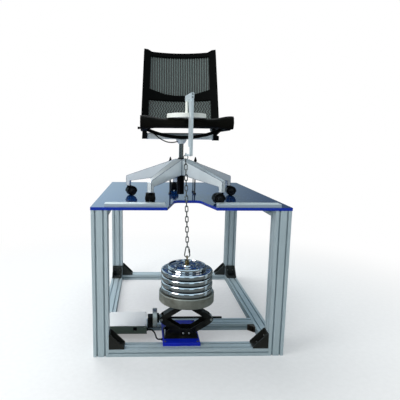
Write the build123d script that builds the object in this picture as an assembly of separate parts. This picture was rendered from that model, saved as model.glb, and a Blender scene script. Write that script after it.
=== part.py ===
from build123d import *
import math

# Chair stability tester, in millimetres
# X to the right, Y to the back, Z up, origin on the floor under the frame's centre

# Table and frame
TABLE_W = 1000.0
TABLE_D = 1280.0
TABLE_H = 790.0
SHEET_T = 15.0
PROFILE = 80.0
FLAT = 40.0
EDGE = 2.0
SLOT_PITCH = 40.0
SLOT_MOUTH = 8.0
SLOT_WIDE = 14.0
SLOT_LIP = 3.0
SLOT_DEEP = 11.0
NOTCH_FRONT = 246.0
NOTCH_BACK = 136.0
NOTCH_DEEP = 250.0
NOTCH_ROUND = 35.0
STRIP_H = 13.0
STRIP_D = 60.0
STRIP_REACH = 24.4
STRIP_CHAMFER = 1.5
STRIP_LEFT = (-435.0, -130.0)
STRIP_RIGHT = (134.0, 453.0)
FRONT_Y = -TABLE_D / 2
CROSS_SETBACK = 338.0
CROSS_Y = FRONT_Y + CROSS_SETBACK
BRACKET_LEG = 80.0
BRACKET_W = 74.0
BRACKET_T = 6.0
SMALL_LEG = 38.0
SMALL_W = 34.0

# General fits
SEAT_GAP = 0.3
RUN_GAP = 0.05

# Load line: the disc, the chain and the weights
LOAD_X = -23.0
LOAD_SETBACK = 150.0
LOAD_Y = FRONT_Y + LOAD_SETBACK
STACK_X = -5.0

# Jack
JACK_RISE = 77.0
JACK_REACH = 120.5
PIN_HALF = 16.0
BASE_PIN_UP = 15.0
PIN_R = 5.0
ARM_WALL = 3.0
LOWER_HALF = 29.0
UPPER_HALF = 25.7
LOWER_IN = 15.0
LOWER_OUT = 17.0
UPPER_IN = 13.0
UPPER_OUT = 15.0
SCREW_R = 6.0
SCREW_RIGHT = 194.0
PLATE_X = (-136.0, 64.0)
PLATE_FRONT = 37.0
PLATE_LAP = 20.0
PLATE_T = 17.0
FOOT_X = (-127.0, 56.0)
FOOT_HALF = 65.0

# Weights
BASE_R = 149.5
BASE_H = 53.0
DISC_R = 139.5
DISC_H = 31.3
DISC_COUNT = 4
TOP_R = 104.0
TOP_H = 20.0
STACK_UP = 30.0
HANGER_R = 10.0

# Chair base
HX = -28.0
HUB_BEHIND = 228.0
HY = LOAD_Y + HUB_BEHIND
ARM_R = 318.0
TIP_UP = 59.0
TIP_H = 63.0
HUB_UP = 132.0
HUB_H = 90.0
TIP_LOW = TABLE_H + TIP_UP
TIP_TOP = TIP_LOW + TIP_H
HUB_LOW = TABLE_H + HUB_UP
HUB_TOP = HUB_LOW + HUB_H
COLUMN_R = 20.5
TUBE_R = 13.0
WHEEL_R = 27.0
WHEEL_W = 20.0
WHEEL_GAP = 8.0
TRAIL = 18.0
STEM_R = 5.5
HOUSING_UP = 87.0
HOUSING_H = 24.0
BEAM_H = 35.0
HOUSING_Z = HUB_TOP + HOUSING_UP
BEAM_LOW = HOUSING_Z + HOUSING_H
BEAM_TOP = BEAM_LOW + BEAM_H

# Chair top
CHAIR_X = -22.0
SEAT_W = 476.0
SEAT_D = 445.0
SEAT_AHEAD = 50.0
SEAT_FRONT = LOAD_Y - SEAT_AHEAD
SEAT_REAR = SEAT_FRONT + SEAT_D
RAIL_UP = 10.0
RAIL_H = 20.0
RAIL_LOW = BEAM_TOP + RAIL_UP
RAIL_TOP = RAIL_LOW + RAIL_H
SEAT_H = 38.5
SEAT_TOP = RAIL_TOP + SEAT_H
BACK_BEHIND = 20.0
BACK_UP_BY = 12.0
BACK_ORIGIN = (CHAIR_X, SEAT_REAR + BACK_BEHIND, RAIL_TOP + BACK_UP_BY)
BACK_LEAN = 12.4
BACK_SAG = 42.0
BACK_T = 28.0
BACK_TOP = 471.0
BACK_TOP_HALF = 222.0
BACK_LOW_HALF = 240.0
RECLINE_BEHIND = 33.0
RECLINE_Y = SEAT_REAR + RECLINE_BEHIND
RECLINE_Z = RAIL_TOP

# Loader
LOAD_DISC_R = 100.0
LOAD_DISC_T = 21.0
LOADER_TURN = 5.3
LOADER_T = 12.0
RING_R = 13.5
RING_WIRE = 4.5
RING_DROP = 197.0
RING_Z = SEAT_TOP - RING_DROP
ARM_UP = 83.5
ARM_H = 27.0
LOADER_Z = SEAT_TOP + ARM_UP
LINK_WIRE = 5.0
LINK_W = 19.0
LINKS = 17
LINK_GAP = 0.3
HOOK_WIRE = 6.0
HOOK_W = 34.0
HOOK_TOP_R = 11.0
HOOK_UP = 36.8
HOOK_H = 66.0


def box(x0, x1, y0, y1, z0, z1):
    """A block between pairs of limits."""
    centre = Location(((x0 + x1) / 2, (y0 + y1) / 2, (z0 + z1) / 2))
    return centre * Box(x1 - x0, y1 - y0, z1 - z0)


def rod(start, end, radius):
    """A round bar between two points."""
    a = Vector(*start)
    b = Vector(*end)
    run = b - a
    return Plane(origin=a, z_dir=run) * Cylinder(
        radius, run.length, align=(Align.CENTER, Align.CENTER, Align.MIN)
    )


def prism(points, origin, x_dir, z_dir, depth, both=False):
    """A flat outline drawn on a plane and given a depth."""
    outline = make_face(Polyline(*points, close=True))
    return extrude(Plane(origin=origin, x_dir=x_dir, z_dir=z_dir) * outline, amount=depth, both=both)


def across(points, x, width):
    """An outline of (y, z) points, centred on x and given a width along X."""
    return prism(points, (x, 0, 0), (0, 1, 0), (1, 0, 0), width / 2, both=True)


def frontal(points, y, depth):
    """An outline of (x, z) points, centred on y and given a depth along Y."""
    return prism(points, (0, y, 0), (1, 0, 0), (0, -1, 0), depth / 2, both=True)


def write(name, *solids):
    """Save one sub-part."""
    shape = solids[0] if len(solids) == 1 else Compound([s for p in solids for s in p.solids()])
    shape.label = name
    export_step(shape, f"parts/{name}.step")


# Slotted aluminium profile


def tee_slot():
    """One T-slot, open towards +Y, with its mouth on the X axis."""
    m = SLOT_MOUTH / 2
    w = SLOT_WIDE / 2
    deep = SLOT_DEEP
    points = [(-m, 1), (-m, -SLOT_LIP), (-w, -SLOT_LIP), (-w, -deep + 3), (-w + 3, -deep)]
    points += [(-x, y) for x, y in reversed(points)]
    return make_face(Polyline(*points, close=True))


def section(width, height):
    """Profile section with slots every 40 mm along each side."""
    face = Rectangle(width, height)
    slot = tee_slot()
    for size, other, turn in ((width, height, 0), (height, width, 90)):
        count = int(size / SLOT_PITCH)
        for i in range(count):
            along = (i - (count - 1) / 2) * SLOT_PITCH
            for side in (0, 180):
                face -= Rot(0, 0, turn + side) * Pos(along, other / 2, 0) * slot
    return face


def bar(width, height, length, origin, x_dir, z_dir):
    """A length of profile from an end point, along z_dir."""
    plane = Plane(origin=origin, x_dir=x_dir, z_dir=z_dir)
    return extrude(plane * section(width, height), amount=length)


HALF = PROFILE / 2
POST_X = TABLE_W / 2 - EDGE - HALF
POST_Y = TABLE_D / 2 - EDGE - HALF
INNER_X = POST_X - HALF
INNER_Y = POST_Y - HALF
FRAME_TOP = TABLE_H - SHEET_T

ARM_AZIMUTHS = [92.0, 164.0, 236.0, 308.0, 20.0]
STOPPED_ARM = ARM_AZIMUTHS[2]
STRIP_Y = HY + ARM_R * math.sin(math.radians(STOPPED_ARM)) - STRIP_REACH


def post(side, end):
    return bar(PROFILE, PROFILE, FRAME_TOP, (side * POST_X, end * POST_Y, 0), (1, 0, 0), (0, 0, 1))


def rail_x(y, z):
    """A rail laid flat between the left and right sides."""
    return bar(PROFILE, FLAT, 2 * INNER_X, (-INNER_X, y, z), (0, 1, 0), (1, 0, 0))


def rail_y(side, z):
    """A rail laid flat between a front and a rear post."""
    return bar(PROFILE, FLAT, 2 * INNER_Y, (side * POST_X, -INNER_Y, z), (1, 0, 0), (0, 1, 0))


def bracket(origin, along, up, leg, width, wall):
    """A cast corner bracket: two legs and two three-cornered cheeks."""
    normal = Vector(*along).cross(Vector(*up))
    foot = wall + 2
    shell = [(0, 0), (leg, 0), (leg, foot), (foot, leg), (0, leg)]
    inside = [(wall, wall), (leg + 20, wall), (wall, leg + 20)]
    outer = prism(shell, origin, along, normal, width / 2, both=True)
    return outer - prism(inside, origin, along, normal, width / 2 - wall, both=True)


def table_top():
    half = TABLE_D / 2
    face = Rectangle(TABLE_W, TABLE_D)
    back = -half + NOTCH_DEEP
    outline = [
        (-NOTCH_FRONT / 2, -half),
        (-NOTCH_BACK / 2, back),
        (NOTCH_BACK / 2, back),
        (NOTCH_FRONT / 2, -half),
    ]
    notch = make_face(Polyline(*outline, close=True))
    face -= notch
    inner = [v for v in face.vertices() if abs(v.Y - back) < 0.1]
    face = fillet(inner, NOTCH_ROUND)
    sheet = extrude(Pos(0, 0, FRAME_TOP) * face, amount=SHEET_T)
    return sheet


def stop_strip(limits):
    """A strip on the table just in front of the front casters."""
    strip = box(*limits, STRIP_Y - STRIP_D, STRIP_Y, TABLE_H, TABLE_H + STRIP_H)
    return chamfer(strip.edges().group_by(Axis.Z)[-1], STRIP_CHAMFER)


def frame():
    write("table_top", table_top())
    write("stop_strips", stop_strip(STRIP_LEFT), stop_strip(STRIP_RIGHT))
    low = FLAT / 2
    high = FRAME_TOP - FLAT / 2
    for name, end in (("front", -1), ("rear", 1)):
        write(f"posts_{name}", post(-1, end), post(1, end))
        write(f"bottom_rail_{name}", rail_x(end * POST_Y, low))
        parts = []
        for side in (-1, 1):
            parts.append(
                bracket(
                    (side * INNER_X, end * POST_Y, FLAT),
                    (-side, 0, 0),
                    (0, 0, 1),
                    BRACKET_LEG,
                    BRACKET_W,
                    BRACKET_T,
                )
            )
            parts.append(
                bracket(
                    (side * POST_X, end * INNER_Y, FLAT),
                    (0, -end, 0),
                    (0, 0, 1),
                    BRACKET_LEG,
                    BRACKET_W,
                    BRACKET_T,
                )
            )
        write(f"corner_brackets_{name}", *parts)
    write("bottom_rail_left", rail_y(-1, low))
    write("bottom_rail_right", rail_y(1, low))
    write("cross_rail", rail_x(CROSS_Y, low))
    write("top_rails", rail_y(-1, high), rail_y(1, high), rail_x(POST_Y, high))
    ties = []
    for side in (-1, 1):
        corner = (side * INNER_X, CROSS_Y - HALF, low)
        ties.append(bracket(corner, (-side, 0, 0), (0, -1, 0), SMALL_LEG, SMALL_W, 4))
    write("cross_brackets", *ties)


# Scissor jack

JACK_Y = LOAD_Y
PLATE_TOP = FLAT + PLATE_T
BASE_Z = PLATE_TOP + BASE_PIN_UP
ELBOW_X = PIN_HALF + JACK_REACH
ELBOW_Z = BASE_Z + JACK_RISE
TOP_Z = ELBOW_Z + JACK_RISE
STACK_Z = TOP_Z + STACK_UP
STACK_TOP = STACK_Z + BASE_H + DISC_COUNT * DISC_H + TOP_H
HOOK_LOW = STACK_TOP + HOOK_UP
HOOK_HIGH = HOOK_LOW + HOOK_H


def jack_arm(start, end, half, inner, outer, radius, webbed_left):
    """A folded channel arm between two pins, with its web on the outer side."""
    a = Vector(start[0], JACK_Y, start[1])
    b = Vector(end[0], JACK_Y, end[1])
    run = (b - a).normalized()
    side = 1 if webbed_left else -1
    out = Vector(0, 1, 0).cross(run) * side
    plane = Plane(origin=a, x_dir=run, z_dir=run.cross(out))
    length = (b - a).length
    ends = Pos(0, 0) * Circle(radius) + Pos(length, 0) * Circle(radius)
    body = make_face(
        Polyline(
            (0, -radius),
            (0, radius),
            (16, outer),
            (length - 16, outer),
            (length, radius),
            (length, -radius),
            (length - 16, -inner),
            (16, -inner),
            close=True,
        )
    )
    flange = extrude(plane * (body + ends), amount=half, both=True)
    cavity = make_face(
        Polyline(
            (-40, -60),
            (-40, 60),
            (24, 60),
            (24, outer - ARM_WALL),
            (length - 26, outer - ARM_WALL),
            (length - 26, 60),
            (length + 40, 60),
            (length + 40, -60),
            close=True,
        )
    )
    arm = flange - extrude(plane * cavity, amount=half - ARM_WALL, both=True)
    for centre in (a, b):
        arm -= rod(
            (centre.X, JACK_Y - 60, centre.Z), (centre.X, JACK_Y + 60, centre.Z), PIN_R + RUN_GAP
        )
    return arm


def headed_pin(x, z, reach, y=JACK_Y):
    """A pin across the jack with a round head at each end."""
    pin = rod((x, y - reach, z), (x, y + reach, z), PIN_R)
    for side in (-1, 1):
        pin += rod((x, y + side * reach, z), (x, y + side * (reach + 2.5), z), PIN_R + 2)
    return pin


def channel(x0, x1, z0, z1, inner_half, wall, floor_low):
    """A channel along X with two upright walls and a floor above or below."""
    outer = inner_half + wall
    y = JACK_Y
    body = box(x0, x1, y - outer, y + outer, z0, z1)
    if floor_low:
        return body - box(x0 - 1, x1 + 1, y - inner_half, y + inner_half, z0 + wall, z1 + 1)
    return body - box(x0 - 1, x1 + 1, y - inner_half, y + inner_half, z0 - 1, z1 - wall)


def jack_foot():
    x0, x1 = FOOT_X
    z0 = PLATE_TOP
    wall = ARM_WALL
    inner = LOWER_HALF + SEAT_GAP
    plate = box(x0, x1, JACK_Y - FOOT_HALF, JACK_Y + FOOT_HALF, z0, z0 + wall)
    foot = plate + channel(x0, x1, z0, z0 + 40, inner, wall, True)
    slope = [(x1 - 34, z0 + 41), (x1 + 1, z0 + 41), (x1 + 1, z0 + 12)]
    foot -= frontal(slope, JACK_Y, 200)
    slope = [(x0 + 30, z0 + 41), (x0 - 1, z0 + 41), (x0 - 1, z0 + 14)]
    foot -= frontal(slope, JACK_Y, 200)
    for side in (-1, 1):
        foot += headed_pin(STACK_X + side * PIN_HALF, BASE_Z, inner + wall)
    return foot


def jack_saddle():
    inner = UPPER_HALF + SEAT_GAP
    top = STACK_Z - SEAT_GAP
    body = channel(STACK_X - 48, STACK_X + 48, TOP_Z - 12, top, inner, ARM_WALL, False)
    body += box(
        STACK_X - 55, STACK_X + 55, JACK_Y - 45, JACK_Y + 45, top - ARM_WALL, top
    )
    for side in (-1, 1):
        x = STACK_X + side * PIN_HALF
        body += headed_pin(x, TOP_Z, inner + ARM_WALL)
        corner = [(x + side * 16, TOP_Z - 13), (x + side * 40, TOP_Z - 13), (x + side * 40, TOP_Z + 22)]
        body -= frontal(corner, JACK_Y, 200)
    return body


def trunnion(side):
    """The round nut that the screw passes through, with its two pivot pins."""
    x = STACK_X + side * ELBOW_X
    half = UPPER_HALF - ARM_WALL - SEAT_GAP
    nut = rod((x, JACK_Y - half, ELBOW_Z), (x, JACK_Y + half, ELBOW_Z), 11)
    nut += headed_pin(x, ELBOW_Z, LOWER_HALF + SEAT_GAP)
    return nut - rod((x - 30, JACK_Y, ELBOW_Z), (x + 30, JACK_Y, ELBOW_Z), SCREW_R + RUN_GAP)


DISC_X = (-189.0, -165.0)
COUPLING_X = (-165.0, -153.5)
MOTOR_X = (-216.0, -189.3)


def jack_screw():
    """The screw with its drive coupling."""
    z = ELBOW_Z
    core = rod((MOTOR_X[0] + 4, JACK_Y, z), (SCREW_RIGHT, JACK_Y, z), SCREW_R)
    core = chamfer(core.edges().filter_by(GeomType.CIRCLE), 1)
    collar = rod((COUPLING_X[0], JACK_Y, z), (COUPLING_X[1], JACK_Y, z), 26)
    return core + chamfer(collar.edges().filter_by(GeomType.CIRCLE), 1.5)


def on_screw(x0, x1, radius):
    """A round piece fixed on the screw."""
    z = ELBOW_Z
    piece = rod((x0, JACK_Y, z), (x1, JACK_Y, z), radius)
    piece = chamfer(piece.edges().filter_by(GeomType.CIRCLE), 1.5)
    return piece - rod((x0 - 1, JACK_Y, z), (x1 + 1, JACK_Y, z), SCREW_R)


def drive_motor():
    z = ELBOW_Z
    block = box(*MOTOR_X, JACK_Y - 26, JACK_Y + 26, z - 50, z + 14)
    block = fillet(block.edges().filter_by(Axis.X), 6)
    shaft = rod((MOTOR_X[0] + 3, JACK_Y, z), (MOTOR_X[1] + 1, JACK_Y, z), SCREW_R + RUN_GAP)
    return block - shaft


def base_plate():
    plate = box(*PLATE_X, FRONT_Y + PLATE_FRONT, CROSS_Y - PLATE_LAP, FLAT, PLATE_TOP)
    return chamfer(plate.edges().group_by(Axis.Z)[-1], 2)


def jack():
    write("jack_base_plate", base_plate())
    write("jack_foot", jack_foot())
    for name, side in (("left", -1), ("right", 1)):
        base = (STACK_X + side * PIN_HALF, BASE_Z)
        elbow = (STACK_X + side * ELBOW_X, ELBOW_Z)
        top = (STACK_X + side * PIN_HALF, TOP_Z)
        lower = jack_arm(base, elbow, LOWER_HALF, LOWER_IN, LOWER_OUT, 11, side > 0)
        upper = jack_arm(elbow, top, UPPER_HALF, UPPER_IN, UPPER_OUT, 11, side > 0)
        write(f"jack_lower_arm_{name}", lower)
        write(f"jack_upper_arm_{name}", upper)
        write(f"jack_trunnion_{name}", trunnion(side))
    write("jack_saddle", jack_saddle())
    write("jack_screw", jack_screw())
    write("drive_disc", on_screw(*DISC_X, 52))
    write("drive_motor", drive_motor())


# Control box and its lead

CONTROL_X = (-450.0, -221.0)
CONTROL_D = 190.0
CONTROL_H = 48.0
CONTROL_BACK = 30.0
CONTROL_REAR = CROSS_Y + CONTROL_BACK
CONTROL = (*CONTROL_X, CONTROL_REAR - CONTROL_D, CONTROL_REAR, FLAT, FLAT + CONTROL_H)
SOCKET_X = -287.0
SOCKET_UP = 29.0
SOCKET_HALF = 10.0
LEAD_R = 4.0
LEAD_POINTS = [
    (-215.0, 50.0, 16.0),
    (-196.0, 50.0, 16.0),
    (-180.0, 28.0, 12.0),
    (-172.0, 0.0, 7.0),
    (-169.0, -28.0, 5.0),
    (-160.0, -52.0, 8.0),
    (-142.0, -52.0, 8.0),
]
LEAD_ROUTE = [(x, LOAD_Y + y, FLAT + z) for x, y, z in LEAD_POINTS]


def route_tube(points, radius):
    """A tube of straight runs joined by arcs as large as the runs allow."""
    vectors = [Vector(*p) for p in points]
    radii = []
    for a, b, c in zip(vectors, vectors[1:], vectors[2:]):
        shorter = min((b - a).length, (c - b).length)
        turn = math.radians((b - a).get_angle(c - b))
        radii.append(0.45 * shorter / math.tan(turn / 2))
    print("route radii", [round(r, 1) for r in radii])
    path = FilletPolyline(*vectors, radius=radii)
    start = Plane(origin=vectors[0], z_dir=vectors[1] - vectors[0])
    return sweep(start * Circle(radius), path=path)


def control():
    x0, x1, y0, y1, z0, z1 = CONTROL
    case = fillet(box(*CONTROL).edges().filter_by(Axis.Z), 3)
    case = chamfer(case.edges().group_by(Axis.Z)[-1], 1)
    sx = SOCKET_X
    sz = FLAT + SOCKET_UP
    half = SOCKET_HALF
    case -= box(sx - half, sx + half, y0 - 1, y0 + 6, sz - half, sz + half)
    for x in (x0 + 12, x1 - 12):
        case += rod((x, y0, z1 - 12), (x, y0 - 1.5, z1 - 12), 3)
    write("control_box", case)
    socket = box(sx - half, sx + half, y0 + 0.5, y0 + 6, sz - half, sz + half)
    inner = half - 4
    socket -= box(sx - inner, sx + inner, y0, y0 + 4, sz - inner, sz + inner)
    first = LEAD_ROUTE[0]
    last = LEAD_ROUTE[-1]
    gland = rod((x1, first[1], first[2]), first, 8)
    plug = rod((PLATE_X[0], last[1], last[2]), last, 7)
    write("control_fittings", socket, gland, plug)
    write("control_lead", route_tube(LEAD_ROUTE, LEAD_R))


# Chair base

CASTERS = ["rear", "left", "front_left", "front_right", "right"]
CASTER_TURNS = [100.0, 20.0, 90.0, 190.0, 0.0]


ARM_ROOT = 36.0
ARM_BEND = 14.0


def arm_top_at(reach):
    """Height of the sloping upper edge of an arm at a distance from the hub."""
    t = (reach - ARM_ROOT) / (ARM_R - ARM_BEND - ARM_ROOT)
    return HUB_TOP - 1 + (TIP_TOP + 6 - (HUB_TOP - 1)) * t


def stem_point(azimuth):
    a = math.radians(azimuth)
    return HX + ARM_R * math.cos(a), HY + ARM_R * math.sin(a)


def star_arm(azimuth):
    """One arm: a tapered side outline cut to a tapered plan."""
    side = [
        (0, HUB_LOW),
        (0, HUB_TOP - 1),
        (ARM_ROOT, HUB_TOP - 1),
        (ARM_R - ARM_BEND, TIP_TOP + 6),
        (ARM_R + 8, TIP_TOP - 2),
        (ARM_R + 11, TIP_TOP - 9),
        (ARM_R + 11, TIP_LOW),
        (ARM_R - 11, TIP_LOW),
        (ARM_R - 13, TIP_TOP - 34),
        (ARM_R - 26, TIP_TOP - 32),
        (40, HUB_LOW),
    ]
    body = prism(side, (0, 0, 0), (1, 0, 0), (0, -1, 0), 40, both=True)
    plan = [(-5, -30), (30, -27), (ARM_R + 14, -12), (ARM_R + 14, 12), (30, 27), (-5, 30)]
    low = TIP_LOW - 50
    body &= prism(plan, (0, 0, low), (1, 0, 0), (0, 0, 1), HUB_TOP + 50 - low)
    body -= Pos(ARM_R, 0, TIP_LOW - 1) * Cylinder(
        STEM_R + RUN_GAP, 36, align=(Align.CENTER, Align.CENTER, Align.MIN)
    )
    return Pos(HX, HY, 0) * Rot(0, 0, azimuth) * body


def star_base():
    hub = Pos(HX, HY, HUB_LOW) * Cylinder(
        41, HUB_TOP - HUB_LOW, align=(Align.CENTER, Align.CENTER, Align.MIN)
    )
    hub = chamfer(hub.edges().group_by(Axis.Z)[-1], 5)
    for azimuth in ARM_AZIMUTHS:
        hub += star_arm(azimuth)
    return hub - rod((HX, HY, TABLE_H), (HX, HY, HUB_TOP + 50), COLUMN_R + RUN_GAP)


def column_tube():
    low = TABLE_H + 20
    tube = rod((HX, HY, low), (HX, HY, HUB_TOP + 1), COLUMN_R)
    tube += rod((HX, HY, HUB_TOP + 1), (HX, HY, HUB_TOP + 7), COLUMN_R - 3)
    bore = rod((HX, HY, low + 8), (HX, HY, HUB_TOP + 20), TUBE_R + RUN_GAP)
    return tube - bore


AXLE_Z = TABLE_H + WHEEL_R + 0.2
HOOD_R = WHEEL_R + 3.0


def caster_fork(x, y, turn):
    """Stem, web, hood and axle of one twin-wheel caster."""
    axle = Pos(TRAIL, 0, AXLE_Z)
    half = WHEEL_GAP / 2 - 0.5
    width = WHEEL_W + WHEEL_GAP / 2
    flat = Rot(90, 0, 0)
    fork = axle * flat * Cylinder(WHEEL_R - 4, 2 * half)
    fork += axle * flat * Cylinder(4, 2 * width)
    hood = flat * Cylinder(HOOD_R, 2 * width) - flat * Cylinder(WHEEL_R + 1, 4 * width)
    hood &= Pos(0, 0, HOOD_R - 4) * Box(4 * HOOD_R, 4 * HOOD_R, 2 * HOOD_R)
    fork += axle * hood
    top = TIP_LOW - SEAT_GAP
    fork += box(-8, TRAIL, -half, half, AXLE_Z, top)
    fork += Pos(0, 0, top - 3) * Cylinder(9, 3, align=(Align.CENTER, Align.CENTER, Align.MIN))
    fork += Pos(0, 0, top) * Cylinder(STEM_R, 32, align=(Align.CENTER, Align.CENTER, Align.MIN))
    return Pos(x, y, 0) * Rot(0, 0, turn) * fork


def caster_wheels(x, y, turn):
    flat = Rot(90, 0, 0)
    wheels = []
    for side in (-1, 1):
        middle = side * (WHEEL_GAP + WHEEL_W) / 2
        wheel = flat * Cylinder(WHEEL_R, WHEEL_W)
        wheel = fillet(wheel.edges().filter_by(GeomType.CIRCLE), 3)
        wheel -= flat * Cylinder(4 + RUN_GAP, 2 * WHEEL_W)
        wheels.append(Pos(x, y, 0) * Rot(0, 0, turn) * Pos(TRAIL, middle, AXLE_Z) * wheel)
    return wheels


def chair_base():
    write("star_base", star_base())
    write("column_tube", column_tube())
    for name, azimuth, turn in zip(CASTERS, ARM_AZIMUTHS, CASTER_TURNS):
        x, y = stem_point(azimuth)
        write(f"caster_fork_{name}", caster_fork(x, y, turn))
        write(f"caster_wheels_{name}", *caster_wheels(x, y, turn))


# Hold-down clamp over the rear arm

CLAMP_BEHIND = 157.0
CLAMP_Y = HY + CLAMP_BEHIND
CLAMP_X = (-80.0, 74.0)
CLAMP_H = 12.0
CLAMP_W = 24.0
CLAMP_Z = arm_top_at(CLAMP_BEHIND - CLAMP_W / 2) + SEAT_GAP
CLAMP_ROD_R = 4.0
GUIDE_BEHIND = 257.0
GUIDE_Y = HY + GUIDE_BEHIND
GUIDE_H = 115.0
GUIDE_X = (-72.0, 74.0)


def foot_rod(x, y, top, radius, foot):
    stand = rod((x, y, TABLE_H), (x, y, TABLE_H + 8), foot)
    return stand + rod((x, y, TABLE_H + 8), (x, y, top), radius)


def clamp_knob(x):
    low = CLAMP_Z + CLAMP_H + SEAT_GAP
    profile = [(0, low), (5.5, low), (7.5, low + 4), (9.5, low + 10)]
    profile += [(7, low + 18), (2, low + 33), (0, low + 34)]
    face = make_face(Plane.XZ * Polyline(*profile, close=True))
    knob = revolve(face, Axis.Z)
    knob -= Cylinder(CLAMP_ROD_R + RUN_GAP, 2 * (low + 16))
    return Pos(x, CLAMP_Y, 0) * knob


def clamp():
    rods = [foot_rod(x, CLAMP_Y, CLAMP_Z + CLAMP_H + 14, CLAMP_ROD_R, 9) for x in CLAMP_X]
    rods += [foot_rod(x, GUIDE_Y, TABLE_H + GUIDE_H, 3, 7) for x in GUIDE_X]
    write("clamp_rods", *rods)
    half = CLAMP_W / 2
    top = CLAMP_Z + CLAMP_H
    beam = box(CLAMP_X[0] - 16, CLAMP_X[1] + 16, CLAMP_Y - half, CLAMP_Y + half, CLAMP_Z, top)
    for x in CLAMP_X:
        beam -= rod((x, CLAMP_Y, CLAMP_Z - 1), (x, CLAMP_Y, top + 1), CLAMP_ROD_R + SEAT_GAP)
    write("clamp_bar", beam)
    write("clamp_knob_left", clamp_knob(CLAMP_X[0]))
    write("clamp_knob_right", clamp_knob(CLAMP_X[1]))


# Seat

RAIL_X = (202.0, 228.0)
LEG_X = (204.0, 240.0)
ROLL_R = 27.0
ROLL_UP = 14.0
BEAM_X = (-224.0, 150.0)
BEAM_Y = (HY - 23, HY + 17)
BAND_W = 50.0
BAND_AHEAD = 28.0
BAND_SAG = 43.0
BAND_T = 17.0


def ellipse_section(x, y, z, ry, rz):
    plane = Plane(origin=(x, y, z), x_dir=(0, 1, 0), z_dir=(1, 0, 0))
    return plane * Ellipse(ry, rz)


def seat_roll():
    """The front roll, thicker and turned up towards both ends."""
    half = SEAT_W / 2
    stations = [
        (-half, 26, 37, 2.5),
        (-half * 0.76, 25, 29, 0.5),
        (-half * 0.46, 24, 24.2, 0),
        (half * 0.46, 24, 24.2, 0),
        (half * 0.76, 25, 29, 0.5),
        (half, 26, 37, 2.5),
    ]
    y = SEAT_FRONT + ROLL_R
    z = RAIL_TOP + ROLL_UP
    faces = [ellipse_section(CHAIR_X + x, y, z + up, ry, rz) for x, ry, rz, up in stations]
    return loft(faces, ruled=True)


def seat_pad():
    """The pad behind the roll, thin and slightly dished."""
    half = SEAT_W / 2
    y0 = SEAT_FRONT + ROLL_R
    low = RAIL_TOP + SEAT_GAP
    side = [
        (y0, low),
        (y0, SEAT_TOP - 2),
        (SEAT_FRONT + 0.2 * SEAT_D, SEAT_TOP - 3),
        (SEAT_FRONT + 0.54 * SEAT_D, SEAT_TOP - 8),
        (SEAT_FRONT + 0.81 * SEAT_D, SEAT_TOP - 6),
        (SEAT_REAR, SEAT_TOP),
        (SEAT_REAR, low),
    ]
    pad = across(side, CHAIR_X, SEAT_W)
    plan = [
        (-half, y0),
        (-half, SEAT_FRONT + 0.36 * SEAT_D),
        (-half + 12, SEAT_FRONT + 0.72 * SEAT_D),
        (-half + 34, SEAT_REAR),
        (half - 34, SEAT_REAR),
        (half - 12, SEAT_FRONT + 0.72 * SEAT_D),
        (half, SEAT_FRONT + 0.36 * SEAT_D),
        (half, y0),
    ]
    pad &= prism([(CHAIR_X + x, y) for x, y in plan], (0, 0, low - 1), (1, 0, 0), (0, 0, 1), SEAT_H + 10)
    return pad


def curved_band():
    """The curved support under the seat, hung between its side rails."""
    half = RAIL_X[0]
    sag = BAND_SAG
    top = RAIL_TOP - 4
    big = (half * half + sag * sag) / (2 * sag)
    ring = Circle(big + BAND_T) - Circle(big)
    ring &= Pos(0, -big) * Rectangle(2 * half, 2 * (sag + 40))
    origin = (CHAIR_X, HY - BAND_AHEAD, top - sag + big)
    return extrude(Plane(origin=origin, x_dir=(1, 0, 0), z_dir=(0, -1, 0)) * ring, amount=BAND_W)


def seat_frame():
    body = curved_band()
    for side in (-1, 1):
        x0, x1 = sorted(CHAIR_X + side * x for x in RAIL_X)
        body += box(x0, x1, SEAT_FRONT + 2 * ROLL_R + 4, SEAT_REAR - 5, RAIL_LOW, RAIL_TOP)
        l0, l1 = sorted(CHAIR_X + side * x for x in (LEG_X[0] - SEAT_GAP, LEG_X[0] - 16))
        lug = [
            (SEAT_REAR - 45, RAIL_LOW),
            (SEAT_REAR - 45, RAIL_TOP),
            (SEAT_REAR + 3, RAIL_TOP),
            (RECLINE_Y, RECLINE_Z + 11),
            (RECLINE_Y + 10, RECLINE_Z),
            (RECLINE_Y, RECLINE_Z - 11),
        ]
        body += across(lug, (l0 + l1) / 2, l1 - l0)
        p0 = CHAIR_X + side * (LEG_X[0] - 4)
        p1 = CHAIR_X + side * (LEG_X[1] + 3)
        body += rod((p0, RECLINE_Y, RECLINE_Z), (p1, RECLINE_Y, RECLINE_Z), 6)
    x, z = BEAM_X[0], BEAM_LOW
    left = [(x - 28, z + 1), (x, z + 1), (x, RAIL_LOW), (x - 26, RAIL_LOW)]
    x = BEAM_X[1]
    right = [(x, z - 5), (x + 32, z - 5), (x + 32, z + 19), (x + 19, z + 24)]
    right += [(x + 42, RAIL_LOW), (x, RAIL_LOW)]
    for outline in (left, right):
        body += frontal(outline, HY - 3, 52)
    y, z = HY - 38, RAIL_TOP - 5
    tip = CHAIR_X - RAIL_X[1]
    lever = rod((tip, y, z), (tip - 18, y, z), 4)
    lever += rod((tip - 14, y, z), (tip - 26, y, z), 7)
    return body + lever


def seat_beam():
    beam = box(*BEAM_X, *BEAM_Y, BEAM_LOW, BEAM_TOP)
    return fillet(beam.edges().filter_by(Axis.X), 5)


def housing():
    z0 = HOUSING_Z
    z1 = BEAM_LOW
    profile = [(0, z0), (18, z0), (22, z0 + 6), (30, z1 - 5), (30, z1), (0, z1)]
    body = revolve(make_face(Plane.XZ * Polyline(*profile, close=True)), Axis.Z)
    body -= Cylinder(TUBE_R + RUN_GAP, 2 * (z0 + 14 + SEAT_GAP))
    return Pos(HX, HY, 0) * body


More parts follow.
